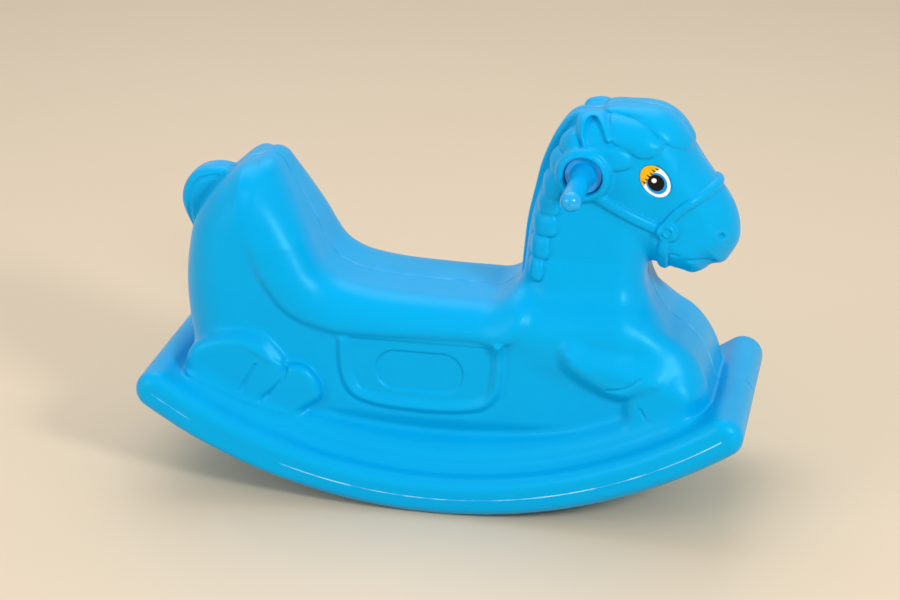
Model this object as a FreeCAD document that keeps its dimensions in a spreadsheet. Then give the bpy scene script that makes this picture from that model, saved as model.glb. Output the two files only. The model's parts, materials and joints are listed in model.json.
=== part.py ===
# Rocking horse: one hollow blow-moulded horse on a curved base, a two-part handle bar that turns in its
# head, and a label for each eye. Millimetres, +X towards the nose, +Z up, the origin under the middle of
# the base where it touches the floor. Every form of the horse is the same on both sides of Y = 0.
import FreeCAD, Part

import math
import os

import Sketcher
from FreeCAD import Placement, Rotation, Vector

doc = FreeCAD.newDocument("rocking_horse")

# Driving sizes: name, value in mm (or degrees where said), and what it is.
SIZES = [
    ("length", 780, "over the front and rear cross-bars"),
    ("height", 522, "floor to the top of the forelock"),
    ("wall", 3, "thickness of the blow-moulded wall"),
    ("rockRadius", 679, "radius of the curved underside"),
    ("railDepth", 50, "height of a rail's section, and thickness of the cross-bars"),
    ("baseWidth", 302, "over the two rails"),
    ("railRound", 16, "rounding of a rail's long edges"),
    ("ledgeWidth", 222, "width of the step between the rails and the body"),
    ("ledgeHeight", 76, "height of that step above the floor, at the middle"),
    ("ledgeFoot", 25, "height of the step's lower face, buried in the rails"),
    ("ledgeHalfLength", 335, "half the length of that step"),
    ("ledgeRound", 10, "rounding of the step's edges"),
    ("archHalfLength", 300, "half the length of the hollow between the rails, under the base"),
    ("archWidth", 200, "width of that hollow"),
    ("archDepth", 24, "depth of that hollow"),
    ("archRound", 10, "rounding of that hollow's edges"),
    ("rumpWidth", 192, "over the rump"),
    ("rumpRound", 50, "rounding of the rump"),
    ("bodyWidth", 200, "over the flanks"),
    ("flankRound", 36, "rounding of the barrel and chest"),
    ("saddleWidth", 210, "over the saddle pad"),
    ("saddleRound", 20, "rounding of the saddle pad"),
    ("legWidth", 226, "over the legs"),
    ("legRound", 14, "rounding of the legs"),
    ("headWidth", 108, "over the cheeks"),
    ("headRound", 32, "rounding of the head"),
    ("tailWidth", 46, "width of the tail curl"),
    ("tailRound", 18, "rounding of the tail curl"),
    ("collarSpan", 146, "over the two collars that hold the handle bar"),
    ("recessGap", 3, "gap between a handle's flange and the side of its recess"),
    ("collarWall", 9, "thickness of a collar round its recess"),
    ("recessDepth", 14, "depth of the recess inside a collar"),
    ("barRadius", 14, "radius of the handle bar where it crosses the head"),
    ("barClearance", 0.08, "radial running clearance of the bar in its two bores"),
    ("flangeClearance", 0.4, "gap between a handle's flange and the recess floor"),
    ("flangeRadius", 23, "radius of a handle's flange"),
    ("flangeThickness", 4, "thickness of a handle's flange"),
    ("coneRadius", 17, "radius of a handle's cone where it leaves the flange"),
    ("coneHeight", 9, "height of the cone between flange and grip"),
    ("gripRadius", 13, "radius of a grip and of its domed end"),
    ("gripSpan", 348, "over the two domed ends"),
    ("spigotRadius", 8, "radius of the spigot that joins the two halves of the bar"),
    ("spigotLength", 30, "length of that spigot"),
    ("spigotClearance", 0.05, "clearance of the spigot in its socket"),
    ("pitRadius", 1.2, "radius of the moulding dimple in a domed end"),
    ("labelLength", 45, "long axis of an eye label"),
    ("labelWidth", 33, "short axis of an eye label"),
    ("labelTilt", 129, "degrees from +X up to the label's long axis"),
    ("labelThickness", 0.3, "thickness of an eye label"),
    ("labelRecess", 1, "depth of the flat that a label sticks on"),
    ("labelMargin", 0.8, "gap around a label on its flat"),
]
sheet = doc.addObject("Spreadsheet::Sheet", "Sizes")
for row, (name, value, note) in enumerate(SIZES, 1):
    sheet.set(f"A{row}", name)
    sheet.set(f"B{row}", str(value))
    sheet.set(f"C{row}", note)
    sheet.setAlias(f"B{row}", name)
doc.recompute()

# Side outlines of the horse's forms. Each point is (x, z): x in hundredths of half the length, z in
# hundredths of the height. A smooth closed curve passes through them.
RUMP = [(-89, 36.7), (-90.2, 51.5), (-89.2, 59.5), (-85.5, 67.2), (-78, 74.6), (-68.5, 79.4), (-59, 80.1),
        (-50, 74.4), (-42, 64.2), (-34, 53), (-24, 42.8), (-16, 30.6), (-18, 20.4), (-30, 16.8), (-50, 18.8),
        (-68, 23.4), (-84, 30.6)]
BARREL = [(-66, 47.9), (-50, 49.9), (-20, 50.3), (10, 50.6), (36, 53.5), (56, 54.5), (68, 50.4), (76.5, 44.2),
          (82.4, 38.5), (86.6, 33.1), (86.5, 28.5), (76, 24.5), (54, 18.8), (28, 14.3), (0, 13), (-28, 14.3),
          (-52, 19.4), (-66, 28.5), (-71, 38.7)]
SADDLE = [(-60.8, 82.6), (-54.6, 78.1), (-50, 72), (-45.4, 65.2), (-38.5, 57.6), (-28, 53.7), (0, 52.2),
          (18, 52), (29, 50.4), (33.5, 47.1), (29, 43.6), (14, 42.6), (-14, 42.8), (-31, 43.6), (-43.6, 46.9),
          (-53, 53.6), (-60.5, 62), (-67, 70.3), (-69.8, 76.4), (-66.8, 81)]
HEAD = [(44.8, 91.6), (49.5, 97.2), (57, 99.4), (63.5, 99.8), (69.5, 98.4), (74, 94.6), (77.2, 90),
        (82.2, 85.8), (87.6, 80.8), (92.4, 75.2), (93.9, 71), (93.2, 66.8), (89.2, 62.6), (83, 59.9),
        (77, 59.1), (71.5, 60.1), (66, 62.2), (60, 66.2), (53.5, 72.9), (47.6, 81.5), (44.6, 87)]
TAIL = [(-91.8, 75.4), (-93.2, 70.3), (-90.6, 64.8), (-86, 62.8), (-80.5, 65.2), (-77.5, 70.8), (-79, 76),
        (-83.2, 78.8), (-88.3, 78.5)]
HIND_LEG = [(-88, 32.6), (-80, 38.2), (-68, 39.7), (-59, 37.1), (-52.5, 31.6), (-44, 29.1), (-40.5, 25.5),
            (-43, 21.9), (-54, 21), (-68, 23), (-82, 27.5)]
FORE_LEG = [(40, 33.6), (46, 39.7), (58, 42.3), (70, 41), (79, 37), (84.8, 32.6), (81.8, 28.9), (72, 25.7),
            (61, 22.8), (55.5, 22), (55, 24.9), (48, 27.1)]
# The neck is a stack of boxy ovals: height, back and front in the same hundredths, width in mm.
NECK = [(38.7, 14, 78, 190), (47.9, 17.5, 71, 158), (57.1, 22, 66, 122), (66.2, 24, 66, 102), (75.4, 26.2, 68, 96),
        (84.6, 30.5, 68, 94), (90.5, 35.5, 66, 88), (95.3, 41.5, 62, 72), (98.2, 46, 57, 48)]
NECK_BOXINESS = 2.6  # exponent of the ovals: 2 is an ellipse, more is squarer
# Middles of the handle bar and of the eye label.
HANDLE = (45, 85.2)
EYE = (67.7, 84.3)


def size(name):
    return float(sheet.get(name))


def worth(formula):
    return float(sheet.evalExpression(formula))


def place(x, z):
    return Vector(x / 100 * size("length") / 2, 0, z / 100 * size("height"))


def newSketch(body, name, role):
    plane = next(feature for feature in body.Origin.OriginFeatures if feature.Role == role)
    sketch = body.newObject("Sketcher::SketchObject", name)
    sketch.AttachmentSupport = (plane, [""])
    sketch.MapMode = "FlatFace"
    return sketch


def bind(sketch, name, formula, *constraint):
    index = sketch.addConstraint(Sketcher.Constraint(*constraint))
    sketch.renameConstraint(index, name)
    sketch.setExpression(f"Constraints.{name}", formula)


# ---- forms of the horse
# Each form is made twice: at inset 0 for the outside, and at the wall's thickness for the hollow inside.
def arcForm(label, low, high, reach, width, rounding, inset):
    """A bar curved to the floor: heights of its faces at the middle, half its length, width, edge rounding."""
    low, high, reach = f"{low} + {inset}", f"{high} - {inset}", f"{reach} - {inset}"
    rock = size("rockRadius")
    cap = (worth(high) - worth(low)) / 2
    middle = rock - worth(low) - cap
    swing = math.asin((worth(reach) - cap) / middle)
    centre = Vector(0, rock, 0)
    fore = centre + Vector(math.sin(swing), -math.cos(swing), 0) * middle
    rear = Vector(-fore.x, fore.y, 0)
    up = Vector(0, 0, 1)
    down = -math.pi / 2
    body = doc.addObject("PartDesign::Body", label)
    sketch = newSketch(body, label + "Outline", "XZ_Plane")
    sketch.addGeometry([
        Part.ArcOfCircle(Part.Circle(centre, up, middle + cap), down - swing, down + swing),
        Part.ArcOfCircle(Part.Circle(centre, up, middle - cap), down - swing, down + swing),
        Part.ArcOfCircle(Part.Circle(fore, up, cap), down + swing, down + swing + math.pi),
        Part.ArcOfCircle(Part.Circle(rear, up, cap), down - swing + math.pi, down - swing + 2 * math.pi),
    ], False)
    for join in ((0, 2, 2, 1), (2, 2, 1, 2), (1, 1, 3, 1), (3, 2, 0, 1)):
        sketch.addConstraint(Sketcher.Constraint("Tangent", *join))
    sketch.addConstraint(Sketcher.Constraint("Coincident", 0, 3, 1, 3))
    sketch.addConstraint(Sketcher.Constraint("PointOnObject", 0, 3, -2))
    bind(sketch, "rock", "Sizes.rockRadius", "DistanceY", -1, 1, 0, 3, rock)
    bind(sketch, "lowFace", f"Sizes.rockRadius - ({low})", "Radius", 0, middle + cap)
    bind(sketch, "highFace", f"Sizes.rockRadius - ({high})", "Radius", 1, middle - cap)
    bind(sketch, "foreEnd", f"{reach} - (({high}) - ({low})) / 2", "DistanceX", -1, 1, 2, 3, fore.x)
    bind(sketch, "rearEnd", "Constraints.foreEnd", "DistanceX", 3, 3, -1, 1, fore.x)
    pad = body.newObject("PartDesign::Pad", label + "Pad")
    pad.Profile = sketch
    pad.SideType = "Symmetric"
    pad.setExpression("Length", f"{width} - 2 * ({inset})")
    doc.recompute()
    rims = [f"Edge{number}" for number, edge in enumerate(pad.Shape.Edges, 1) if edge.BoundBox.YLength < 1e-6]
    fillet = body.newObject("PartDesign::Fillet", label + "Round")
    fillet.Base = (pad, rims)
    fillet.setExpression("Radius", f"{rounding} - ({inset})")
    return body


def crossCylinder(label, radius, span, at, shift="0"):
    """A cylinder across the horse: radius, span and the shift of its middle along Y are formulas."""
    cylinder = doc.addObject("Part::Cylinder", label)
    cylinder.setExpression("Radius", radius)
    cylinder.setExpression("Height", span)
    start = place(*at) + Vector(0, worth(shift) + worth(span) / 2, 0)
    cylinder.Placement = Placement(start, Rotation(Vector(1, 0, 0), 90))
    return cylinder


def ovalPrism(label, grow, near, far, side):
    """The eye label's oval, grown by a formula, from near to far along Y on the given side (+1 or -1)."""
    oval = doc.addObject("Part::Ellipse", label + "Outline")
    oval.setExpression("MajorRadius", f"Sizes.labelLength / 2 + {grow}")
    oval.setExpression("MinorRadius", f"Sizes.labelWidth / 2 + {grow}")
    tilt = Rotation(Vector(0, -1, 0), size("labelTilt")) * Rotation(Vector(1, 0, 0), 90)
    oval.Placement = Placement(place(*EYE) + Vector(0, side * worth(near), 0), tilt)
    prism = doc.addObject("Part::Extrusion", label)
    prism.Base = oval
    prism.DirMode = "Custom"
    prism.Dir = Vector(0, side, 0)
    prism.Solid = True
    prism.setExpression("LengthFwd", f"({far}) - ({near})")
    return prism


def insetOutline(outline, inset):
    """Points of a closed outline, moved inwards square to the smooth curve through them."""
    points = [place(x, z) for x, z in outline]
    curve = Part.BSplineCurve()
    curve.interpolate(points, PeriodicFlag=True)
    area = sum(a.x * b.z - b.x * a.z for a, b in zip(points, points[1:] + points[:1]))
    inwards = math.copysign(inset, area)
    moved = []
    for point in points:
        along = curve.tangent(curve.parameter(point))[0]
        moved.append(point + Vector(-along.z, 0, along.x) * inwards)
    return moved


def closedWire(points):
    curve = Part.BSplineCurve()
    curve.interpolate(points, PeriodicFlag=True)
    return Part.Wire([curve.toShape()])


def pillow(label, outline, widthName, roundName, inset):
    """A form with a side outline and a width, its sides rounded over."""
    halfWidth = size(widthName) / 2 - inset
    rounding = size(roundName) - inset
    steps = []
    for angle in (80, 55, 28, 0):
        turn = math.radians(angle)
        steps.append((halfWidth - rounding + rounding * math.sin(turn), rounding * (1 - math.cos(turn))))
    wires = []
    for y, setIn in steps + [(-y, setIn) for y, setIn in reversed(steps)]:
        wire = closedWire(insetOutline(outline, inset + setIn))
        wire.translate(Vector(0, y, 0))
        wires.append(wire)
    form = doc.addObject("Part::Feature", label)
    form.Shape = Part.makeLoft(wires, True, False)
    return form


def neckForm(label, inset):
    wires = []
    for z, back, front, width in NECK:
        rear, fore = place(back, z) + Vector(inset, 0, -inset), place(front, z) + Vector(-inset, 0, -inset)
        middle = (rear + fore) / 2
        reach, half = (fore.x - rear.x) / 2, width / 2 - inset
        ring = []
        for angle in range(0, 360, 30):
            c, s = math.cos(math.radians(angle)), math.sin(math.radians(angle))
            push = (abs(c) ** NECK_BOXINESS + abs(s) ** NECK_BOXINESS) ** (-1 / NECK_BOXINESS)
            ring.append(middle + Vector(reach * push * c, half * push * s, 0))
        wires.append(closedWire(ring))
    form = doc.addObject("Part::Feature", label)
    form.Shape = Part.makeLoft(wires, True, False)
    return form


def chain(kind, label, things):
    """The first thing fused with, or cut by, each of the others in turn."""
    result = things[0]
    for number, thing in enumerate(things[1:], 1):
        step = doc.addObject(kind, f"{label}{number}")
        step.Base, step.Tool = result, thing
        step.Refine = False
        result = step
    return result


def horseForm(prefix, insetFormula):
    """The whole horse, inset by a formula: all its forms in one, less its recesses."""
    inset = worth(insetFormula)
    recessRadius = "Sizes.flangeRadius + Sizes.recessGap"
    collarRadius = f"{recessRadius} + Sizes.collarWall"
    forms = [
        arcForm(prefix + "Rails", "0", "Sizes.railDepth", "Sizes.length / 2", "Sizes.baseWidth",
                "Sizes.railRound", insetFormula),
        arcForm(prefix + "Ledge", "Sizes.ledgeFoot", "Sizes.ledgeHeight", "Sizes.ledgeHalfLength",
                "Sizes.ledgeWidth", "Sizes.ledgeRound", insetFormula),
        pillow(prefix + "Rump", RUMP, "rumpWidth", "rumpRound", inset),
        pillow(prefix + "Barrel", BARREL, "bodyWidth", "flankRound", inset),
        pillow(prefix + "Saddle", SADDLE, "saddleWidth", "saddleRound", inset),
        pillow(prefix + "HindLegs", HIND_LEG, "legWidth", "legRound", inset),
        pillow(prefix + "ForeLegs", FORE_LEG, "legWidth", "legRound", inset),
        neckForm(prefix + "Neck", inset),
        pillow(prefix + "Head", HEAD, "headWidth", "headRound", inset),
        pillow(prefix + "Tail", TAIL, "tailWidth", "tailRound", inset),
        crossCylinder(prefix + "Collars", f"{collarRadius} - {insetFormula}",
                      f"Sizes.collarSpan - 2 * {insetFormula}", HANDLE),
    ]
    whole = chain("Part::Fuse", prefix + "Joined", forms)
    recesses = [arcForm(prefix + "Arch", "-Sizes.archDepth", "Sizes.archDepth", "Sizes.archHalfLength",
                        "Sizes.archWidth", "Sizes.archRound", f"-{insetFormula}")]
    for side, word in ((-1, "Right"), (1, "Left")):
        recesses.append(crossCylinder(
            f"{prefix}Recess{word}", f"{recessRadius} + {insetFormula}",
            f"2 * Sizes.recessDepth + 2 * {insetFormula}", HANDLE, f"{side} * Sizes.collarSpan / 2"))
        recesses.append(ovalPrism(
            f"{prefix}EyeFlat{word}", f"Sizes.labelMargin + {insetFormula}",
            f"Sizes.headWidth / 2 - Sizes.labelRecess - {insetFormula}", "Sizes.headWidth", side))
    return chain("Part::Cut", prefix + "Recessed", [whole] + recesses)


def makeBodyShell():
    bores = crossCylinder("barBores", "Sizes.barRadius + Sizes.barClearance", "Sizes.collarSpan", HANDLE)
    shell = chain("Part::Cut", "bodyShell", [horseForm("outer", "0"), horseForm("inner", "Sizes.wall"), bores])
    shell.Label = "body_shell"
    return shell


# ---- the handle bar, two halves pushed together inside the head
def handleHalf(label, inner, side):
    """One half of the bar, turned about +Y and then set on its side; inner lists (radius, y) up to the bar."""
    flangeY = "Sizes.collarSpan / 2 - Sizes.recessDepth + Sizes.flangeClearance"
    coneY = f"{flangeY} + Sizes.flangeThickness"
    domeY = "Sizes.gripSpan / 2 - Sizes.gripRadius"
    corners = inner + [
        ("Sizes.barRadius", flangeY), ("Sizes.flangeRadius", flangeY), ("Sizes.flangeRadius", coneY),
        ("Sizes.coneRadius", coneY), ("Sizes.gripRadius", f"{coneY} + Sizes.coneHeight"),
        ("Sizes.gripRadius", domeY), ("0", domeY)]
    points = [Vector(worth(x), worth(y), 0) for x, y in corners]
    body = doc.addObject("PartDesign::Body", label)
    sketch = newSketch(body, label + "Profile", "XY_Plane")
    count = len(points)
    sketch.addGeometry([Part.LineSegment(points[i], points[(i + 1) % count]) for i in range(count)], False)
    for i in range(count):
        sketch.addConstraint(Sketcher.Constraint("Coincident", i, 2, (i + 1) % count, 1))
    for i, (x, y) in enumerate(corners):
        if x == "0":
            sketch.addConstraint(Sketcher.Constraint("PointOnObject", i, 1, -2))
        else:
            bind(sketch, f"radius{i}", x, "DistanceX", -1, 1, i, 1, points[i].x)
        if y == "0":
            sketch.addConstraint(Sketcher.Constraint("PointOnObject", i, 1, -1))
        else:
            bind(sketch, f"reach{i}", y, "DistanceY", -1, 1, i, 1, points[i].y)
    turned = body.newObject("PartDesign::Revolution", label + "Turned")
    turned.Profile = sketch
    turned.ReferenceAxis = (sketch, ["V_Axis"])
    turned.Angle = 360
    dome = body.newObject("PartDesign::AdditiveSphere", label + "Dome")
    dome.setExpression("Radius", "Sizes.gripRadius")
    dome.Placement = Placement(Vector(0, worth(domeY), 0), Rotation())
    pit = body.newObject("PartDesign::SubtractiveSphere", label + "Pit")
    pit.setExpression("Radius", "Sizes.pitRadius")
    pit.Placement = Placement(Vector(0, size("gripSpan") / 2, 0), Rotation())
    body.Placement = Placement(place(*HANDLE), Rotation(Vector(0, 0, 1), 90 - 90 * side))
    return body


def makeHandles():
    spigotEnd = "-Sizes.spigotLength"
    spigot = [("0", spigotEnd), ("Sizes.spigotRadius", spigotEnd), ("Sizes.spigotRadius", "0"),
              ("Sizes.barRadius", "0")]
    socketRadius = "Sizes.spigotRadius + Sizes.spigotClearance"
    socketEnd = "Sizes.spigotLength + 1"
    socket = [("0", socketEnd), (socketRadius, socketEnd), (socketRadius, "0"), ("Sizes.barRadius", "0")]
    return [handleHalf("handle_right", spigot, -1), handleHalf("handle_left", socket, 1)]


def makeLabels():
    floor = "Sizes.headWidth / 2 - Sizes.labelRecess"
    return [ovalPrism(f"eye_label_{word}", "0", floor, f"{floor} + Sizes.labelThickness", side)
            for side, word in ((-1, "right"), (1, "left"))]


parts = [makeBodyShell()] + makeHandles() + makeLabels()
doc.recompute()

for thing in doc.Objects:
    if "Invalid" in thing.State or "Error" in thing.State:
        raise RuntimeError(f"{thing.Label} failed: {thing.State}")
os.makedirs("parts", exist_ok=True)
for part in parts:
    if part.Shape.isNull() or not part.Shape.isValid():
        raise RuntimeError(f"{part.Label} has no valid shape")
    part.Shape.exportStep(f"parts/{part.Label}.step")
    box = part.Shape.BoundBox
    print(f"{part.Label}: {len(part.Shape.Solids)} solid, {part.Shape.Volume / 1000:.1f} cm3, "
          f"{box.XLength:.1f} x {box.YLength:.1f} x {box.ZLength:.1f} mm")
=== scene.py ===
import json
import math

import bpy
import numpy as np
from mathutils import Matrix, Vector

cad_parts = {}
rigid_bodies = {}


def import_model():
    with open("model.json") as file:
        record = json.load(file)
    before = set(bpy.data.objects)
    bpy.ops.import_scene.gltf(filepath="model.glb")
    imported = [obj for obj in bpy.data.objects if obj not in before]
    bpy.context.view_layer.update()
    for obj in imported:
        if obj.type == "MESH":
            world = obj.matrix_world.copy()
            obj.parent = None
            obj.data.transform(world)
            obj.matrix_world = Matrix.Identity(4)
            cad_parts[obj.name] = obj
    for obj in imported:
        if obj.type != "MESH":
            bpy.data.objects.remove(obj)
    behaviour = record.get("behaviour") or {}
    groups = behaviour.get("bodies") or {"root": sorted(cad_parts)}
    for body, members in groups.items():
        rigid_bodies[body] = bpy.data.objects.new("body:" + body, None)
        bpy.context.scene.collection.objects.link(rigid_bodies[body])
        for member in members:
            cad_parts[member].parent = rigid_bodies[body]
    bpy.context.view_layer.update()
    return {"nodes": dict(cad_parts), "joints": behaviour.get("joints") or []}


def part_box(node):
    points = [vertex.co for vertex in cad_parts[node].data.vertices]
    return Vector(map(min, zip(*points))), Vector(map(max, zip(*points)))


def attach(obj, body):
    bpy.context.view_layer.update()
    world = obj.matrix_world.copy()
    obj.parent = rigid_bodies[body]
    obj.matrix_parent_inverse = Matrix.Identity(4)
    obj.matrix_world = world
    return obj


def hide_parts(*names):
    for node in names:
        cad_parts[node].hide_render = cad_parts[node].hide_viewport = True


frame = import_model()

# Rocking horse: a blow-moulded polyethylene body, a moulded handle bar through the head, printed eye labels.
# Shapes are worked out in millimetres in the frame's own axes (X to the nose, Z up) and made in metres.
mm = 0.001
bodyLow, bodyHigh = (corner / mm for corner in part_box("body_shell"))
labelLow, labelHigh = (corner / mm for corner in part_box("eye_label_right"))
handleMiddle = Vector(frame["joints"][0]["pos_m"]) / mm
handleX, handleZ = handleMiddle.x, handleMiddle.z
eyeX, eyeZ = (labelLow.x + labelHigh.x) / 2, (labelLow.z + labelHigh.z) / 2
eyeY = -labelHigh.y

# The moulding is worked out on a lattice and meshed at this spacing.
lattice = {"spacing": 2.0, "margin": 8.0}


def soften(t):
    # 0 below 0, 1 above 1, smooth in between
    t = np.clip(t, 0.0, 1.0)
    return t * t * (3 - 2 * t)


def join(a, b, roundness):
    # the union of two shapes with a fillet
    h = np.maximum(roundness - np.abs(a - b), 0.0) / roundness
    return np.minimum(a, b) - h * h * roundness / 4


def meet(a, b, roundness):
    # what two shapes share, with a rounded edge
    return -join(-a, -b, roundness)


def slab(profile, halfWidth, roundness, y):
    # an outline given a width across the horse, with round edges
    a = profile + roundness
    b = np.abs(y) - halfWidth + roundness
    return np.minimum(np.maximum(a, b), 0) + np.hypot(np.maximum(a, 0), np.maximum(b, 0)) - roundness


def smoothLine(points, closed, steps=7):
    # a centripetal Catmull-Rom curve through given points
    p = np.array(points, float)
    if closed:
        p = np.vstack([p[-1], p, p[0], p[1]])
    else:
        p = np.vstack([2 * p[0] - p[1], p, 2 * p[-1] - p[-2]])
    out = []
    for a, b, c, d in zip(p, p[1:], p[2:], p[3:]):
        t0 = 0.0
        t1 = t0 + math.dist(a, b) ** 0.5
        t2 = t1 + math.dist(b, c) ** 0.5
        t3 = t2 + math.dist(c, d) ** 0.5
        for t in np.linspace(t1, t2, steps, endpoint=False):
            ab = a + (b - a) * (t - t0) / (t1 - t0)
            bc = b + (c - b) * (t - t1) / (t2 - t1)
            cd = c + (d - c) * (t - t2) / (t3 - t2)
            abc = ab + (bc - ab) * (t - t0) / (t2 - t0)
            bcd = bc + (cd - bc) * (t - t1) / (t3 - t1)
            out.append(abc + (bcd - abc) * (t - t1) / (t2 - t1))
    if not closed:
        out.append(p[-2])
    return np.array(out)


gridX = np.arange(bodyLow.x - lattice["margin"], bodyHigh.x + lattice["margin"] + 1, lattice["spacing"])
gridZ = np.arange(bodyLow.z - lattice["margin"], bodyHigh.z + lattice["margin"] + 1, lattice["spacing"])
# the lattice straddles the middle plane, so the two halves mirror exactly
gridY = np.arange(-lattice["spacing"] / 2, bodyHigh.y + lattice["margin"], lattice["spacing"])


def distanceMap(points, closed=True):
    # how far each place of the side view is from an outline: negative inside a closed one
    line = smoothLine(points, closed)
    ends = np.roll(line, -1, axis=0) if closed else line[1:]
    starts = line if closed else line[:-1]
    x, z = np.meshgrid(gridX, gridZ, indexing="ij")
    nearest = np.full(x.shape, 1e9)
    inside = np.zeros(x.shape, bool)
    for (ax, az), (bx, bz) in zip(starts, ends):
        ex, ez = bx - ax, bz - az
        t = np.clip(((x - ax) * ex + (z - az) * ez) / (ex * ex + ez * ez + 1e-12), 0, 1)
        nearest = np.minimum(nearest, (x - ax - ex * t) ** 2 + (z - az - ez * t) ** 2)
        if az != bz:
            inside ^= ((az > z) != (bz > z)) & (x < ex * (z - az) / ez + ax)
    nearest = np.sqrt(nearest)
    return np.where(inside, -nearest, nearest) if closed else nearest


def read(picture, x, z):
    # a map's value at any place, by straight lines between its points
    u = np.clip((x - gridX[0]) / lattice["spacing"], 0, len(gridX) - 1.001)
    v = np.clip((z - gridZ[0]) / lattice["spacing"], 0, len(gridZ) - 1.001)
    i, j = u.astype(int), v.astype(int)
    u, v = u - i, v - j
    low = picture[i, j] * (1 - u) + picture[i + 1, j] * u
    high = picture[i, j + 1] * (1 - u) + picture[i + 1, j + 1] * u
    return low * (1 - v) + high * v


# The moulding's forms, all in millimetres.

base = {
    "rockRadius": 679.0,        # the underside's arc, on a centre above the floor's touching point
    "railDepth": 52.0,
    "railHalfLength": 367.5,
    "railHalfWidth": 151.0,
    "railRound": 18.0,
    "wallHalfWidth": 124.0,     # where the raised middle meets the rails
    "wallLean": 0.38,
    "ledgeEdge": (112.0, 80.0),  # half width and height of the ledge's outer edge above the underside
    "ledgeSlope": 0.55,
    "ledgeReach": 20.0,         # how far in from its edge the ledge goes on rising
    "ledgeHalfLength": 330.0,
    "ledgeRound": 9.0,
    "ledgeEndRound": 36.0,
    "ledgeFoot": 20.0,          # the ledge starts inside the rails, this far above the underside
    "ledgeFootRound": 4.0,
    "wallFillet": 14.0,
    "rearWallFillet": 23.0,     # the wall's foot is softer beside the hind legs
    "recessHalfLength": 300.0,  # the hollow under the deck
    "recessHalfWidth": 100.0,
    "recessDepth": 24.0,
    "recessRound": 8.0,
}

trunk = {
    "outline": [(-331, 135), (-337, 172), (-343, 208), (-346, 245), (-346, 274), (-342, 310), (-335, 341),
                (-319, 373), (-293, 403), (-262, 423), (-225, 390), (-180, 318), (-140, 265), (-40, 258),
                (80, 258), (180, 270), (245, 268), (274, 252), (288, 243), (307, 231), (325, 211), (336, 188),
                (341, 172), (344, 160), (335, 135), (215, 85), (0, 55), (-215, 85)],
    "halfWidth": 98.0,
    "rumpRound": 62.0,
    "chestRound": 33.0,
    "bellyTuck": 12.0,
    "bellyHeight": 122.0,
}

saddle = {
    "outline": [(-263, 419), (-254, 428), (-245, 432), (-235, 431), (-224, 424), (-214, 408), (-195, 374),
                (-179, 343), (-169, 321), (-156, 300), (-134, 286), (-90, 277), (-23, 273), (43, 272),
                (68, 272), (97, 284), (103, 270), (100, 252), (88, 237), (66, 229), (20, 228), (-40, 226),
                (-100, 224), (-140, 225), (-180, 236), (-205, 252), (-226, 280), (-241, 310), (-252, 345),
                (-261, 385)],
    "top": [(-266, 417), (-254, 428), (-245, 432), (-235, 431), (-224, 424), (-214, 408), (-195, 374),
            (-179, 343), (-169, 321), (-156, 300), (-134, 286), (-90, 277), (-23, 273), (43, 272),
            (68, 272), (97, 284), (160, 270), (160, 120), (-330, 120), (-300, 380)],
    "halfWidths": [(290, 105), (330, 100), (380, 84), (432, 66)],
    "topRound": 54.0,
    "edgeRound": 12.0,
    "fillet": 9.0,
    "frontFillet": 31.0,        # the pad runs out into the shoulder at its front
}

neck = {
    "outline": [(101, 235), (98, 297), (101, 339), (106, 376), (116, 413), (130, 449), (151, 486), (172, 510),
                (215, 500), (262, 430), (262, 372), (256, 330), (253, 313), (254, 297), (261, 278),
                (276, 245), (260, 200), (160, 190)],
    "halfWidths": [(200, 98), (240, 88), (280, 72), (330, 62), (420, 57), (540, 57)],
    "roundness": 38.0,
    "shoulderFillet": 34.0,
    "throatFillet": 16.0,
}

head = {
    "outline": [(150, 470), (166, 502), (188, 515), (205, 519), (225, 519), (246, 519), (267, 515),
                (285, 503), (297, 488), (307, 473), (320, 454), (330, 441), (341, 426), (352, 411),
                (361, 393), (366, 374),
                (366, 353), (358, 336), (349, 324), (334, 320), (325, 313), (311, 308), (295, 313),
                (274, 319), (258, 325), (230, 350), (180, 390), (150, 430)],
    "halfWidths": [(150, 58), (220, 58), (265, 55), (290, 54), (335, 45), (370, 43)],
    "roundness": 37.0,
    "taper": 7.0,           # how much narrower the head is at its outline than inside it
    "taperReach": 38.0,
    "fillet": 12.0,
}

crest = {
    "outline": [(92, 285), (95, 339), (99, 372), (107, 408), (116, 445), (132, 482), (150, 506), (166, 513),
                (185, 512), (215, 500), (150, 430), (125, 330), (125, 270), (97, 268)],
    "halfWidth": 18.0,
    "roundness": 6.0,
    "fillet": 4.0,
}

tail = {
    "outline": [(-336, 311), (-345, 320), (-352, 334), (-358, 349), (-360, 361), (-358, 375), (-352, 388),
                (-343, 398), (-330, 405), (-315, 408), (-300, 407), (-285, 400), (-290, 375), (-318, 325)],
    "halfWidth": 24.0,
    "roundness": 15.0,
    "hollow": [(-345, 330), (-347, 350), (-345, 372), (-335, 389), (-320, 396), (-306, 398)],
    "hollowDepth": 2.5,
    "fillet": 5.0,
}

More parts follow.
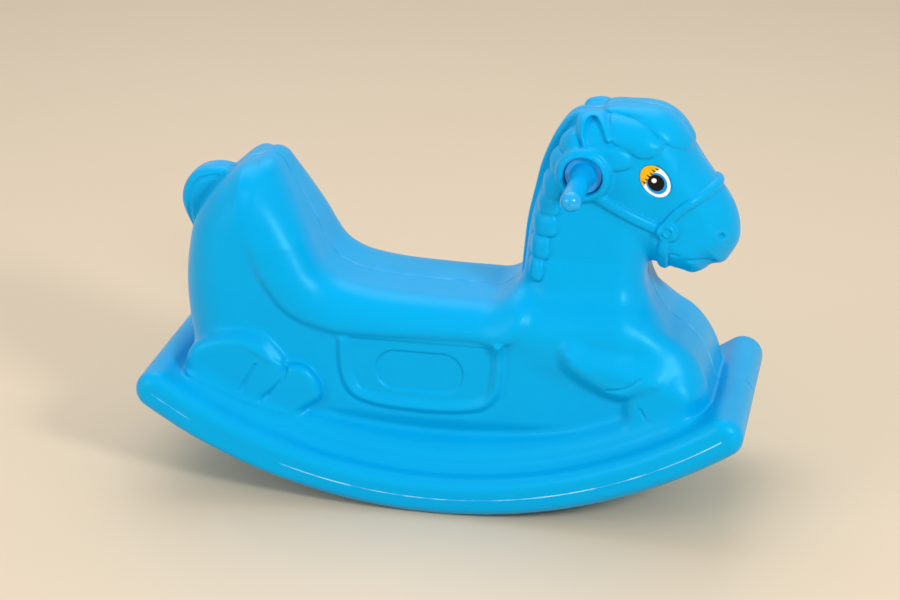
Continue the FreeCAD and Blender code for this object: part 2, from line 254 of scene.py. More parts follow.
hindLeg = {
    "thigh": [(-332, 150), (-334, 170), (-327, 190), (-308, 204), (-280, 212), (-250, 213), (-228, 206),
              (-208, 186), (-200, 173), (-206, 150), (-220, 132), (-237, 117), (-262, 110), (-300, 118)],
    "thighHalfWidth": 114.0,
    "thighRound": 14.0,
    "thighFillet": 12.0,
    "hoof": [(-238, 112), (-226, 140), (-208, 166), (-196, 177), (-178, 177), (-164, 167), (-155, 150),
             (-155, 134), (-168, 122), (-200, 100), (-228, 92)],
    "hoofHalfWidth": 112.0,
    "hoofRound": 11.0,
    "hoofFillet": 5.0,
    "grooveDepth": 2.5,
    "fetlockDepth": 2.2,
    "groove": [(-239, 176), (-249, 158), (-260, 138)],
    "fetlock": [(-199, 172), (-202, 160), (-215, 143), (-233, 126)],
    "ridges": [[(-243, 197), (-224, 187), (-205, 177)], [(-232, 213), (-218, 201), (-205, 185)],
               [(-331, 158), (-285, 140), (-240, 122), (-205, 114)]],
    "ridgeHeights": [1.3, 1.3, 2.4],
}

foreLeg = {
    "shank": [(240, 160), (240, 140), (243, 122), (270, 135), (300, 150), (319, 160), (325, 172), (318, 184),
              (302, 192), (280, 197), (260, 197), (247, 185)],
    "shankMiddle": 84.0,      # each leg is a slab of its own, this far from the middle plane
    "shankHalfWidth": 28.0,
    "shankRound": 17.0,
    "forearm": [(157, 225), (160, 205), (177, 190), (200, 176), (220, 167), (240, 163), (262, 168),
                (282, 178), (292, 187), (290, 197), (278, 206), (258, 213), (225, 221), (190, 228),
                (166, 234)],
    "forearmMiddle": 86.0,
    "forearmHalfWidth": 31.0,
    "forearmRound": 22.0,
    "fold": [(219, 180), (240, 184), (251, 190), (259, 198)],
    "foldDepth": 2.2,
    "hoofMark": [(261, 156), (265, 148), (271, 140)],
    "hoofMarkDepth": 2.5,
    "bellyFillet": 12.0,
    "chestFillet": 28.0,
    "kneeFillet": 4.0,
}

flap = {
    "bead": [(-124, 255), (-126, 220), (-126, 190), (-121, 160), (-110, 143), (-85, 134), (-40, 130),
             (0, 130), (35, 133), (58, 140), (71, 155), (76, 180), (77, 220), (76, 255)],
    "beadHeight": 4.5,
    "beadReach": 8.5,
    "grooveDepth": 1.4,
    "insetTop": 218.0,
    "insetDepth": 1.6,
    "panelEnds": (-57.0, 4.0),
    "panelHeight": 177.0,
    "panelRadius": 27.0,
    "panelDepth": 2.4,
}

bridle = {
    "cheekStrap": [(197, 414), (222, 401), (246, 389), (268, 378)],
    "cheekHalfWidth": 7.5,
    "noseband": [(280, 385), (291, 399), (309, 413), (327, 423), (342, 432)],
    "nosebandHalfWidth": 6.5,
    "throatStrap": [(279, 366), (275, 345), (273, 300)],
    "throatHalfWidth": 7.0,
    "strapHeight": 5.2,
    "ring": (282.0, 376.5),
    "discRadius": 14.0,
    "discHeight": 5.5,
    "ringRadius": 6.0,
    "ringThickness": 2.2,
    "ringHeight": 2.2,
}

face = {
    "nostril": (346.0, 367.0),
    "nostrilRadius": 4.2,
    "nostrilDepth": 4.5,
    "mouth": [(309, 336), (324, 335), (337, 332)],
    "mouthDepth": 3.0,
    "mouthReach": 3.2,
    "slitDepth": 2.0,
    "slit": [(288, 344), (295, 343)],
    "ear": [(159, 519), (166, 524), (181, 526), (195, 519), (206, 503), (210, 490), (199, 485), (181, 481),
            (176, 477), (166, 489), (160, 503)],
    "earHeight": 8.0,
    "earHollow": [(174, 500), (178, 512), (186, 514), (195, 505), (201, 493), (203, 482), (196, 468),
                  (182, 466), (178, 482)],
    "earHollowShare": 0.95,
    "sideLock": [(182, 479), (195, 482), (208, 485), (224, 481), (236, 471), (236, 458), (218, 451),
                 (207, 453), (200, 465), (189, 474)],
    "sideLockHeight": 6.0,
    "lowerLock": [(203, 516), (225, 515), (247, 509), (263, 496), (274, 486), (268, 477), (259, 470),
                  (244, 468), (230, 475), (210, 487)],
    "lowerLockHeight": 5.5,
    "forelock": [(160, 560), (172, 532), (183, 525), (192, 518), (212, 516), (234, 513), (257, 501),
                 (275, 486), (290, 479), (304, 475), (312, 482), (340, 560)],
    "forelockHeight": 5.5,
}

# middle, half length, half height and lean of each lock of the mane
maneLocks = [
    (152, 482, 17, 13, 25), (138, 455, 12, 18, 18), (134, 424, 14, 17, 10), (131, 400, 16, 15, 8),
    (127, 375, 18, 17, 5), (122, 345, 14, 17, 0), (118, 317, 11, 16, -4),
]
maneLockHeight = 7.5

collar = {
    "radius": 35.5,
    "halfSpan": 72.0,
    "roundness": 11.0,
    "recessRadius": 24.6,
    "floorHalfSpan": 58.7,      # from the middle plane to the floor of the recess
}

partingLine = {"halfWidth": 1.2, "height": 1.3, "railHalfWidth": 0.7, "railHeight": 0.6}

# the flat that the eye label is stuck to
eyePad = {"tilt": 129.0, "halfLength": 26.0, "halfWidth": 20.0, "roundness": 3.0}


def makeMaps():
    # the side-view maps that the forms and the relief read
    maps = {
        "trunk": distanceMap(trunk["outline"]),
        "saddle": distanceMap(saddle["outline"]),
        "saddleTop": distanceMap(saddle["top"]),
        "neck": distanceMap(neck["outline"]),
        "head": distanceMap(head["outline"]),
        "crest": distanceMap(crest["outline"]),
        "tail": distanceMap(tail["outline"]),
        "tailHollow": distanceMap(tail["hollow"], closed=False),
        "thigh": distanceMap(hindLeg["thigh"]),
        "hoof": distanceMap(hindLeg["hoof"]),
        "hindGroove": distanceMap(hindLeg["groove"], closed=False),
        "shank": distanceMap(foreLeg["shank"]),
        "forearm": distanceMap(foreLeg["forearm"]),
        "fold": distanceMap(foreLeg["fold"], closed=False),
        "hoofMark": distanceMap(foreLeg["hoofMark"], closed=False),
        "flapBead": distanceMap(flap["bead"]),
        "cheekStrap": distanceMap(bridle["cheekStrap"], closed=False),
        "noseband": distanceMap(bridle["noseband"], closed=False),
        "throatStrap": distanceMap(bridle["throatStrap"], closed=False),
        "mouth": distanceMap(face["mouth"], closed=False),
        "ear": distanceMap(face["ear"]),
        "earHollow": distanceMap(face["earHollow"]),
        "sideLock": distanceMap(face["sideLock"]),
        "lowerLock": distanceMap(face["lowerLock"]),
        "forelock": distanceMap(face["forelock"]),
        "slit": distanceMap(face["slit"], closed=False),
        "fetlock": distanceMap(hindLeg["fetlock"], closed=False),
    }
    for number, ridge in enumerate(hindLeg["ridges"]):
        maps["ridge%d" % number] = distanceMap(ridge, closed=False)
    return maps


def baseForm(x, y, z):
    # the rocker: a deep plate with round rails, and a raised middle with leaning walls and a sloped ledge
    toCentre = np.hypot(x, z - base["rockRadius"])
    above = base["rockRadius"] - toCentre
    half = base["railDepth"] / 2
    endZ = base["rockRadius"] - math.sqrt((base["rockRadius"] - half) ** 2 - base["railHalfLength"] ** 2)
    along = np.abs(x) / np.maximum(toCentre, 1) * (base["rockRadius"] - half)
    arc = np.abs(above - half) - half
    end = np.hypot(np.abs(x) - base["railHalfLength"], z - endZ) - half
    plate = np.where(along > base["railHalfLength"], end, arc)
    rails = slab(plate, base["railHalfWidth"], base["railRound"], y)
    side = np.abs(y)
    wall = side - base["wallHalfWidth"] + base["wallLean"] * (above - base["railDepth"])
    edgeY, edgeZ = base["ledgeEdge"]
    rise = base["ledgeSlope"] * np.minimum(edgeY - side, base["ledgeReach"])
    slope = (above - edgeZ - rise) * 0.9
    ledge = meet(wall, slope, base["ledgeRound"])
    ledge = meet(ledge, np.abs(x) - base["ledgeHalfLength"], base["ledgeEndRound"])
    ledge = meet(ledge, base["ledgeFoot"] - above, base["ledgeFootRound"])
    softer = base["rearWallFillet"] - base["wallFillet"]
    whole = join(rails, ledge, base["wallFillet"] + softer * soften((-x - 150) / 60))
    hollow = slab(np.maximum(above - base["recessDepth"], np.abs(x) - base["recessHalfLength"]),
                  base["recessHalfWidth"], base["recessRound"], y)
    return meet(whole, -hollow, base["recessRound"])


def mark(f, distance, reach, height, gate=1.0):
    # raises a soft bead along a line, or cuts a soft groove if the height is negative
    return f - height * gate * np.exp(-((distance / reach) ** 2) * 2)


def lift(f, distance, height, edge, gate=1.0):
    # raises a patch of the surface, with a rounded step at its edge
    return f - height * gate * soften((edge - distance) / (2 * edge))


def puff(f, distance, height, reach, gate=1.0):
    # raises a patch of the surface as a cushion that is steep at its edge
    return f - height * gate * (1 - np.exp(np.minimum(distance, 0.0) / reach))


def strap(f, distance, halfWidth, height, gate=1.0):
    # raises a half-round strap along a line
    return f - height * gate * np.clip(1 - (distance / halfWidth) ** 2, 0, 1) ** 0.5


def horseForm(x, y, z, maps):
    # the distance from the moulding's skin: negative inside
    side = np.abs(y)
    # relief on the flanks and cheeks fades out towards the middle plane
    flank = soften((side - 40) / 25)
    cheek = soften((side - 18) / 14)

    width = trunk["halfWidth"] - trunk["bellyTuck"] * soften((trunk["bellyHeight"] - z) / 40)
    roundness = trunk["chestRound"] + (trunk["rumpRound"] - trunk["chestRound"]) * soften((-x - 180) / 100)
    body = slab(read(maps["trunk"], x, z), width, roundness, y)

    width = np.interp(z, *zip(*neck["halfWidths"]))
    column = slab(read(maps["neck"], x, z), width, neck["roundness"], y)
    tighter = neck["shoulderFillet"] - neck["throatFillet"]
    body = join(body, column, neck["shoulderFillet"] - tighter * soften((x - 225) / 30))

    width = np.interp(z, *zip(*saddle["halfWidths"]))
    pad = slab(read(maps["saddleTop"], x, z), width, saddle["topRound"], y)
    pad = meet(pad, read(maps["saddle"], x, z), saddle["edgeRound"])
    softer = saddle["frontFillet"] - saddle["fillet"]
    body = join(body, pad, saddle["fillet"] + softer * soften((x - 45) / 40))

    fromOutline = read(maps["head"], x, z)
    width = np.interp(x, *zip(*head["halfWidths"]))
    width = width - head["taper"] * soften(1 + fromOutline / head["taperReach"])
    skull = slab(fromOutline, width, np.minimum(head["roundness"], width - 2), y)
    body = join(body, skull, head["fillet"])
    ridge = slab(read(maps["crest"], x, z), crest["halfWidth"], crest["roundness"], y)
    body = join(body, ridge, crest["fillet"])

    brush = slab(read(maps["tail"], x, z), tail["halfWidth"], tail["roundness"], y)
    brush = mark(brush, read(maps["tailHollow"], x, z), 3.5, -tail["hollowDepth"], soften((side - 8) / 8))
    body = join(body, brush, tail["fillet"])

    for part in ("thigh", "hoof"):
        limb = slab(read(maps[part], x, z), hindLeg[part + "HalfWidth"], hindLeg[part + "Round"], y)
        body = join(body, limb, hindLeg[part + "Fillet"])
    shank = slab(read(maps["shank"], x, z), foreLeg["shankHalfWidth"], foreLeg["shankRound"],
                 side - foreLeg["shankMiddle"])
    forearm = slab(read(maps["forearm"], x, z), foreLeg["forearmHalfWidth"], foreLeg["forearmRound"],
                   side - foreLeg["forearmMiddle"])
    # the leg runs smoothly into the chest at the front and stands out more sharply under the belly
    softer = foreLeg["chestFillet"] - foreLeg["bellyFillet"]
    limb = join(shank, forearm, foreLeg["kneeFillet"])
    body = join(body, limb, foreLeg["bellyFillet"] + softer * soften((x - 230) / 60))
    body = mark(body, read(maps["hindGroove"], x, z), 3.0, -hindLeg["grooveDepth"], flank)
    body = mark(body, read(maps["fold"], x, z), 3.5, -foreLeg["foldDepth"], flank)
    body = mark(body, read(maps["hoofMark"], x, z), 3.0, -foreLeg["hoofMarkDepth"], flank)

    body = mark(body, read(maps["fetlock"], x, z), 3.5, -hindLeg["fetlockDepth"], flank)
    for number, height in enumerate(hindLeg["ridgeHeights"]):
        body = mark(body, read(maps["ridge%d" % number], x, z), 5.0, height, flank)

    belowPad = soften((221 + 0.045 * (x + 126) - z) / 8) * flank
    bead = read(maps["flapBead"], x, z)
    body = mark(body, bead, flap["beadReach"], flap["beadHeight"], belowPad)
    body = mark(body, bead - 10.0, 5.5, -flap["grooveDepth"], belowPad)
    body = lift(body, np.maximum(bead + 9.0, z - flap["insetTop"]), -flap["insetDepth"], 2.0, flank)
    left, right = flap["panelEnds"]
    panel = np.hypot(x - np.clip(x, left, right), z - flap["panelHeight"]) - flap["panelRadius"]
    body = lift(body, panel, -flap["panelDepth"], 1.8, flank)

    body = puff(body, read(maps["forelock"], x, z), face["forelockHeight"], 4.0, soften((x - 160) / 45))
    body = puff(body, read(maps["lowerLock"], x, z), face["lowerLockHeight"], 4.5, cheek)
    body = puff(body, read(maps["sideLock"], x, z), face["sideLockHeight"], 4.5, cheek)
    cushion = 0.0
    for midX, midZ, long, tall, lean in maneLocks:
        c, s = math.cos(math.radians(lean)), math.sin(math.radians(lean))
        u = ((x - midX) * c + (z - midZ) * s) / long
        v = ((z - midZ) * c - (x - midX) * s) / tall
        cushion = np.maximum(cushion, np.clip(1 - np.abs(u) ** 3 - np.abs(v) ** 3, 0, 1) ** 0.6)
    body = body - maneLockHeight * cheek * cushion
    hollow = soften((3.0 - read(maps["earHollow"], x, z)) / 6.0)
    rim = cheek * (1 - face["earHollowShare"] * hollow)
    body = puff(body, read(maps["ear"], x, z), face["earHeight"], 3.0, rim)

    body = strap(body, read(maps["cheekStrap"], x, z), bridle["cheekHalfWidth"], bridle["strapHeight"], cheek)
    nose = strap(body, read(maps["noseband"], x, z), bridle["nosebandHalfWidth"], bridle["strapHeight"])
    throat = strap(body, read(maps["throatStrap"], x, z), bridle["throatHalfWidth"], bridle["strapHeight"])
    fromRing = np.hypot(x - bridle["ring"][0], z - bridle["ring"][1])
    disc = lift(body, fromRing - bridle["discRadius"], bridle["discHeight"], 1.5, cheek)
    body = np.minimum(np.minimum(nose, throat), disc)
    body = mark(body, fromRing - bridle["ringRadius"], bridle["ringThickness"], bridle["ringHeight"], cheek)
    body = mark(body, read(maps["mouth"], x, z), face["mouthReach"], -face["mouthDepth"])
    body = mark(body, read(maps["slit"], x, z), 2.5, -face["slitDepth"], cheek)
    fromNostril = np.hypot(x - face["nostril"][0], z - face["nostril"][1])
    body = mark(body, fromNostril, face["nostrilRadius"] * 1.3, -face["nostrilDepth"], cheek)
    body = mark(body, fromNostril - face["nostrilRadius"] - 2.5, 3.0, 1.2, cheek)

    fromHandle = np.hypot(x - handleX, z - handleZ)
    hub = slab(fromHandle - collar["radius"], collar["halfSpan"], collar["roundness"], y)
    body = join(body, hub, 6.0)
    pocket = np.maximum(fromHandle - collar["recessRadius"], collar["floorHalfSpan"] - side)
    body = meet(body, -pocket, 3.0)

    lean = math.radians(eyePad["tilt"])
    u = (x - eyeX) * math.cos(lean) + (z - eyeZ) * math.sin(lean)
    v = (z - eyeZ) * math.cos(lean) - (x - eyeX) * math.sin(lean)
    oval = (np.hypot(u / eyePad["halfLength"], v / eyePad["halfWidth"]) - 1) * eyePad["halfWidth"]
    body = join(body, slab(oval, eyeY, eyePad["roundness"], y), 3.0)
    body = meet(body, -np.maximum(oval + 2, eyeY - side), 1.0)
    return join(body, baseForm(x, y, z), 9.0)


def netSurface(values):
    # one vertex in each lattice cell that the skin passes, and a quad round each lattice edge that it crosses
    inside = values < 0
    corners = [(a, b, c) for a in (0, 1) for b in (0, 1) for c in (0, 1)]
    shape = np.array(values.shape)

    def shifted(array, offset):
        ends = [slice(o, n - 1 + o) for o, n in zip(offset, shape)]
        return array[tuple(ends)]

    count = sum(shifted(inside, c).astype(np.int8) for c in corners)
    active = (count > 0) & (count < 8)
    number = np.full(active.shape, -1, np.int64)
    cells = np.argwhere(active)
    number[active] = np.arange(len(cells))
    total = np.zeros((len(cells), 3))
    hits = np.zeros(len(cells))
    for axis in range(3):
        step = np.eye(3, dtype=int)[axis]
        for corner in corners:
            if corner[axis]:
                continue
            a = values[tuple((cells + corner).T)]
            b = values[tuple((cells + corner + step).T)]
            crossed = (a < 0) != (b < 0)
            share = np.where(crossed, a / np.where(a == b, 1, a - b), 0)
            total += crossed[:, None] * (np.array(corner) + share[:, None] * step)
            hits += crossed
    places = cells + total / hits[:, None]
    origin = np.array([gridX[0], gridY[0], gridZ[0]])
    vertices = origin + places * lattice["spacing"]
    onPlane = cells[:, 1] == 0
    vertices[onPlane, 1] = 0

    quads = []
    for axis in range(3):
        b, c = (axis + 1) % 3, (axis + 2) % 3
        first = np.take(inside, np.arange(shape[axis] - 1), axis)
        second = np.take(inside, np.arange(1, shape[axis]), axis)
        edges = np.argwhere(first != second)
        keep = (edges[:, b] > 0) & (edges[:, b] < shape[b] - 1)
        keep &= (edges[:, c] > 0) & (edges[:, c] < shape[c] - 1)
        edges = edges[keep]
        outward = inside[tuple(edges.T)]
        ring = []
        for db, dc in ((-1, -1), (0, -1), (0, 0), (-1, 0)):
            cell = edges.copy()
            cell[:, b] += db
            cell[:, c] += dc
            ring.append(number[tuple(cell.T)])
        ring = np.stack(ring, 1)
        ring[~outward] = ring[~outward][:, ::-1]
        quads.append(ring)
    return vertices, np.vstack(quads), onPlane


def slopeOf(form, p, reach):
    # the direction in which the distance grows fastest
    x, y, z = p.T
    rise = [
        form(x + reach, y, z) - form(x - reach, y, z),
        form(x, y + reach, z) - form(x, y - reach, z),
        form(x, y, z + reach) - form(x, y, z - reach),
    ]
    return np.stack(rise, 1) / (2 * reach)


def settle(form, vertices, onPlane, rounds=3):
    # moves each vertex onto the skin, in steps of at most 1.2 mm
    for _ in range(rounds):
        slope = slopeOf(form, vertices, 0.6)
        steep = np.maximum((slope ** 2).sum(1), 0.05)
        shift = -(form(*vertices.T) / steep)[:, None] * slope
        length = np.linalg.norm(shift, axis=1, keepdims=True)
        shift *= np.minimum(1, 1.2 / np.maximum(length, 1e-9))
        vertices = vertices + shift
        vertices[onPlane, 1] = 0
    return vertices


def meshOf(name, vertices, faces, normals=None):
    mesh = bpy.data.meshes.new(name)
    corners = faces.shape[1]
    mesh.vertices.add(len(vertices))
    mesh.vertices.foreach_set("co", (vertices * mm).astype(np.float32).ravel())
    mesh.loops.add(faces.size)
    mesh.loops.foreach_set("vertex_index", faces.astype(np.int32).ravel())
    mesh.polygons.add(len(faces))
    mesh.polygons.foreach_set("loop_start", np.arange(0, faces.size, corners, dtype=np.int32))
    mesh.update(calc_edges=True)
    mesh.validate()
    mesh.polygons.foreach_set("use_smooth", np.ones(len(mesh.polygons), bool))
    if normals is not None:
        mesh.normals_split_custom_set_from_vertices(normals.astype(np.float32))
    thing = bpy.data.objects.new(name, mesh)
    bpy.context.scene.collection.objects.link(thing)
    return thing


def mirrored(vertices, quads, onPlane, normals):
    # the left half from the right, sharing the vertices on the middle plane
    other = np.where(onPlane, np.arange(len(vertices)), 0)
    other[~onPlane] = len(vertices) + np.arange((~onPlane).sum())
    flip = np.array([1, -1, 1])
    bothVertices = np.vstack([vertices, vertices[~onPlane] * flip])
    bothNormals = np.vstack([normals, normals[~onPlane] * flip])
    return bothVertices, np.vstack([quads, other[quads][:, ::-1]]), bothNormals


def makeBody():
    # the blow-moulded body as one mesh, with what the parting lines need to follow it
    maps = makeMaps()
    print("body: side-view maps made")
    values = horseForm(gridX[:, None, None], gridY[None, :, None], gridZ[None, None, :], maps)
    print("body: form worked out", values.shape)
    vertices, quads, onPlane = netSurface(values)

    def form(x, y, z):
        return horseForm(x, y, z, maps)

    vertices = settle(form, vertices, onPlane)
    normals = slopeOf(form, vertices, 0.9)
    normals[onPlane, 1] = 0
    normals /= np.maximum(np.linalg.norm(normals, axis=1, keepdims=True), 1e-9)
    print("body: skin settled,", len(vertices), "vertices a side")
    seam = quads, vertices, onPlane
    thing = meshOf("mouldedBody", *mirrored(vertices, quads, onPlane, normals))
    return thing, seam


def seamLoops(quads, vertices, onPlane):
    # closed runs of vertices where the skin crosses the middle plane
    nextOne = {}
    for a, b in ((0, 1), (1, 2), (2, 3), (3, 0)):
        both = onPlane[quads[:, a]] & onPlane[quads[:, b]]
        for p, q in quads[both][:, (a, b)]:
            nextOne[int(p)] = int(q)
    loops = []
    while nextOne:
        start = next(iter(nextOne))
        loop = [start]
        while loop[-1] in nextOne:
            following = nextOne.pop(loop[-1])
            if following == start:
                break
            loop.append(following)
        if len(loop) > 60:
            loops.append(vertices[loop])
    return loops


def beadAlong(line, outward, across, halfWidth, height, closed):
    # a low rounded ridge that follows a line on the skin
    sunk = 0.25
    angles = np.linspace(0, math.pi, 7)
    rings = []
    for angle in angles:
        rise = math.sin(angle) * height - sunk
        rings.append(line + outward * rise + across * (math.cos(angle) * halfWidth))
    points = np.stack(rings, 1).reshape(-1, 3)
    n, m = len(line), len(angles)
    faces = []
    for i in range(n if closed else n - 1):
        for j in range(m - 1):
            a, b = i * m + j, (i + 1) % n * m + j
            faces.append((a, b, b + 1, a + 1))
    return points, np.array(faces)


def linear(hexColour):
    # an sRGB hex colour as linear values
    parts = [int(hexColour[i:i + 2], 16) / 255 for i in (1, 3, 5)]
    return [c / 12.92 if c <= 0.04045 else ((c + 0.055) / 1.055) ** 2.4 for c in parts] + [1.0]


def addNode(material, kind, settings=None, inputs=None):
    # a node with its settings, plain input values and links
    node = material.node_tree.nodes.new(kind)
    for name, value in (settings or {}).items():
        setattr(node, name, value)
    for name, value in (inputs or {}).items():
        if isinstance(value, bpy.types.NodeSocket):
            material.node_tree.links.new(value, node.inputs[name])
        else:
            node.inputs[name].default_value = value
    return node


def newMaterial(name):
    material = bpy.data.materials.new(name)
    material.use_nodes = True
    material.node_tree.nodes.clear()
    return material


def finishMaterial(material, shader):
    addNode(material, "ShaderNodeOutputMaterial", inputs={"Surface": shader.outputs[0]})
    return material


def perMetre(spacing):
    # a noise scale from the real distance between grains in millimetres
    return 1 / (spacing * mm)


polyethylene = {
    "colour": "#00A7E1",
    "deepColour": "#00A0DD",
    "shine": "#78D2FF",
    "roughness": (0.28, 0.36),
    "clouds": 60.0,        # mm between the faint patches of colour and shine
    "grain": 1.6,          # mm between the grains of the blasted mould
    "grainDepth": 0.00016,
    "waviness": 38.0,      # mm between the slow waves of a blown wall
    "waveDepth": 0.00035,
}


def blownPolyethylene():
    # high-density polyethylene blown against a blasted mould: a waxy satin with grainy highlights
    material = newMaterial("blownPolyethylene")
    place = addNode(material, "ShaderNodeTexCoord")
    where = place.outputs["Object"]
    cloud = addNode(material, "ShaderNodeTexNoise", inputs={
        "Vector": where, "Scale": perMetre(polyethylene["clouds"]), "Detail": 3.0})
    tint = addNode(material, "ShaderNodeMix", {"data_type": "RGBA"}, {
        "Factor": cloud.outputs["Fac"], "A": linear(polyethylene["colour"]),
        "B": linear(polyethylene["deepColour"])})
    grain = addNode(material, "ShaderNodeTexNoise", inputs={
        "Vector": where, "Scale": perMetre(polyethylene["grain"]), "Detail": 2.0, "Roughness": 0.6})
    low, high = polyethylene["roughness"]
    rough = addNode(material, "ShaderNodeMapRange", inputs={
        "Value": cloud.outputs["Fac"], "From Min": 0.3, "From Max": 0.7, "To Min": low, "To Max": high})
    wave = addNode(material, "ShaderNodeTexNoise", inputs={
        "Vector": where, "Scale": perMetre(polyethylene["waviness"]), "Detail": 1.0})
    slow = addNode(material, "ShaderNodeBump", inputs={
        "Height": wave.outputs["Fac"], "Distance": polyethylene["waveDepth"], "Strength": 1.0})
    fine = addNode(material, "ShaderNodeBump", inputs={
        "Height": grain.outputs["Fac"], "Distance": polyethylene["grainDepth"], "Strength": 1.0,
        "Normal": slow.outputs["Normal"]})
    shader = addNode(material, "ShaderNodeBsdfPrincipled", inputs={
        "Base Color": tint.outputs["Result"], "Roughness": rough.outputs["Result"],
        "Normal": fine.outputs["Normal"], "IOR": 1.38,
        "Specular Tint": linear(polyethylene["shine"])})
    return finishMaterial(material, shader)


def shavedSeamAndSheen():
    # the parting line, shaved with a blade: paler and rougher than the skin; the pale patches are partly
    # whitened flash and partly a painted highlight along the bead
    material = newMaterial("shavedSeamAndSheen")
    place = addNode(material, "ShaderNodeTexCoord")
    flashAndSheen = addNode(material, "ShaderNodeTexNoise", inputs={
        "Vector": place.outputs["Object"], "Scale": perMetre(34), "Detail": 4.0})
    patches = addNode(material, "ShaderNodeMapRange", inputs={
        "Value": flashAndSheen.outputs["Fac"], "From Min": 0.42, "From Max": 0.62})
    # pale patches along the bead: whitened shaved flash, and partly a painted highlight
    tint = addNode(material, "ShaderNodeMix", {"data_type": "RGBA"}, {
        "Factor": patches.outputs["Result"], "A": linear("#12A8EE"), "B": linear("#A6E2FA")})
    shader = addNode(material, "ShaderNodeBsdfPrincipled", inputs={
        "Base Color": tint.outputs["Result"], "Roughness": 0.5, "IOR": 1.53})
    return finishMaterial(material, shader)


def mouldedHandlePlastic():
    # polypropylene injected in a polished mould: a clean gloss with a very slight flow
    material = newMaterial("mouldedHandlePlastic")
    place = addNode(material, "ShaderNodeTexCoord")
    flow = addNode(material, "ShaderNodeTexNoise", inputs={
        "Vector": place.outputs["Object"], "Scale": perMetre(9), "Detail": 2.0})
    tint = addNode(material, "ShaderNodeMix", {"data_type": "RGBA"}, {
        "Factor": flow.outputs["Fac"], "A": linear("#00A0E2"), "B": linear("#00A6E8")})
    ripple = addNode(material, "ShaderNodeBump", inputs={
        "Height": flow.outputs["Fac"], "Distance": 0.0002, "Strength": 1.0})
    shader = addNode(material, "ShaderNodeBsdfPrincipled", inputs={
        "Base Color": tint.outputs["Result"], "Roughness": 0.16, "IOR": 1.49,
        "Normal": ripple.outputs["Normal"]})
    return finishMaterial(material, shader)


def printedVinyl(name, hexColour):
    # ink under a clear vinyl film: even colour with a smooth shine
    material = newMaterial(name)
    place = addNode(material, "ShaderNodeTexCoord")
    dots = addNode(material, "ShaderNodeTexNoise", inputs={
        "Vector": place.outputs["Object"], "Scale": perMetre(0.8), "Detail": 1.0})
    colour = linear(hexColour)
    darker = [c * 0.93 for c in colour[:3]] + [1.0]
    tint = addNode(material, "ShaderNodeMix", {"data_type": "RGBA"}, {
        "Factor": dots.outputs["Fac"], "A": colour, "B": darker})
    shader = addNode(material, "ShaderNodeBsdfPrincipled", inputs={
        "Base Color": tint.outputs["Result"], "Roughness": 0.28, "IOR": 1.3})
    return finishMaterial(material, shader)


def paintedFloor():
    # a smooth pale floor
    material = newMaterial("paintedFloor")
    place = addNode(material, "ShaderNodeTexCoord")
    cloud = addNode(material, "ShaderNodeTexNoise", inputs={
        "Vector": place.outputs["Object"], "Scale": 1.5, "Detail": 2.0})
    tint = addNode(material, "ShaderNodeMix", {"data_type": "RGBA"}, {
        "Factor": cloud.outputs["Fac"], "A": linear("#DAC8AE"), "B": linear("#DDCCB4")})
    shader = addNode(material, "ShaderNodeBsdfPrincipled", inputs={
        "Base Color": tint.outputs["Result"], "Roughness": 0.5})
    return finishMaterial(material, shader)


blue = blownPolyethylene()
seamAndSheen = shavedSeamAndSheen()
handleBlue = mouldedHandlePlastic()

body, seam = makeBody()
body.data.materials.append(blue)
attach(body, "horse")
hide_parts("body_shell")
print("body made")

def makePartingLines(seam):
    # a bead round each loop of skin on the middle plane, and one along the outer face of each rail
    quads, vertices, onPlane = seam
    pieces = []
    for number, loop in enumerate(seamLoops(quads, vertices, onPlane)):
        for _ in range(2):
            loop = (np.roll(loop, 1, 0) + 2 * loop + np.roll(loop, -1, 0)) / 4
        along = np.roll(loop, -1, 0) - np.roll(loop, 1, 0)
        along /= np.linalg.norm(along, axis=1, keepdims=True)
        across = np.tile([0.0, 1.0, 0.0], (len(loop), 1))
        area = 0.5 * np.sum(loop[:, 0] * np.roll(loop[:, 2], -1) - np.roll(loop[:, 0], -1) * loop[:, 2])
        outward = np.cross(across, along) * (-1 if area > 0 else 1)
        points, faces = beadAlong(
            loop, outward, across, partingLine["halfWidth"], partingLine["height"], True)
        pieces.append(meshOf("partingLine%d" % number, points, faces))
    half = base["railDepth"] / 2
    radius = base["rockRadius"] - half
    turn = math.asin(base["railHalfLength"] / radius)
    angles = np.linspace(-turn, turn, 160)
    for number, side in enumerate((-1, 1)):
        line = np.stack([radius * np.sin(angles), np.full(160, side * base["railHalfWidth"]),
                         base["rockRadius"] - radius * np.cos(angles)], 1)
        outward = np.tile([0.0, side, 0.0], (160, 1))
        across = np.stack([np.sin(angles), np.zeros(160), -np.cos(angles)], 1)
        points, faces = beadAlong(
            line, outward, across, partingLine["railHalfWidth"], partingLine["railHeight"], False)
        pieces.append(meshOf("railLine%d" % number, points, faces))
    return pieces


for piece in makePartingLines(seam):
    piece.data.materials.append(seamAndSheen)
    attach(piece, "horse")
print("parting lines made")

for name in ("handle_right", "handle_left"):
    node = frame["nodes"][name]
    node.data.materials.clear()
    node.data.materials.append(handleBlue)
print("handle dressed")

eye = {
    "length": 45.0,
    "width": 33.0,
    "tilt": 129.0,
    "film": 0.12,      # how far each printed layer stands above the one below it
    "white": "#F4F4F2",
    "iris": "#1290D8",
    "pupil": "#050505",
    "lid": "#FFB400",
    "irisShift": (1.8, -2.6),      # from the middle of the label
    "irisHalf": (14.6, 12.4),
    "pupilShift": (1.0, -2.0),
    "pupilHalf": (11.0, 10.0),
    "glintShift": (-1.6, 1.0),
    "glintHalf": (3.2, 3.0),
    "lidReach": 6.0,
    "lidBow": 3.2,
    "lidSlant": 3.5,
    "lashHalfWidth": 1.3,
    "lashLengths": (4.0, 6.0),     # taken in turn
    "lashSweep": 1.5,
}


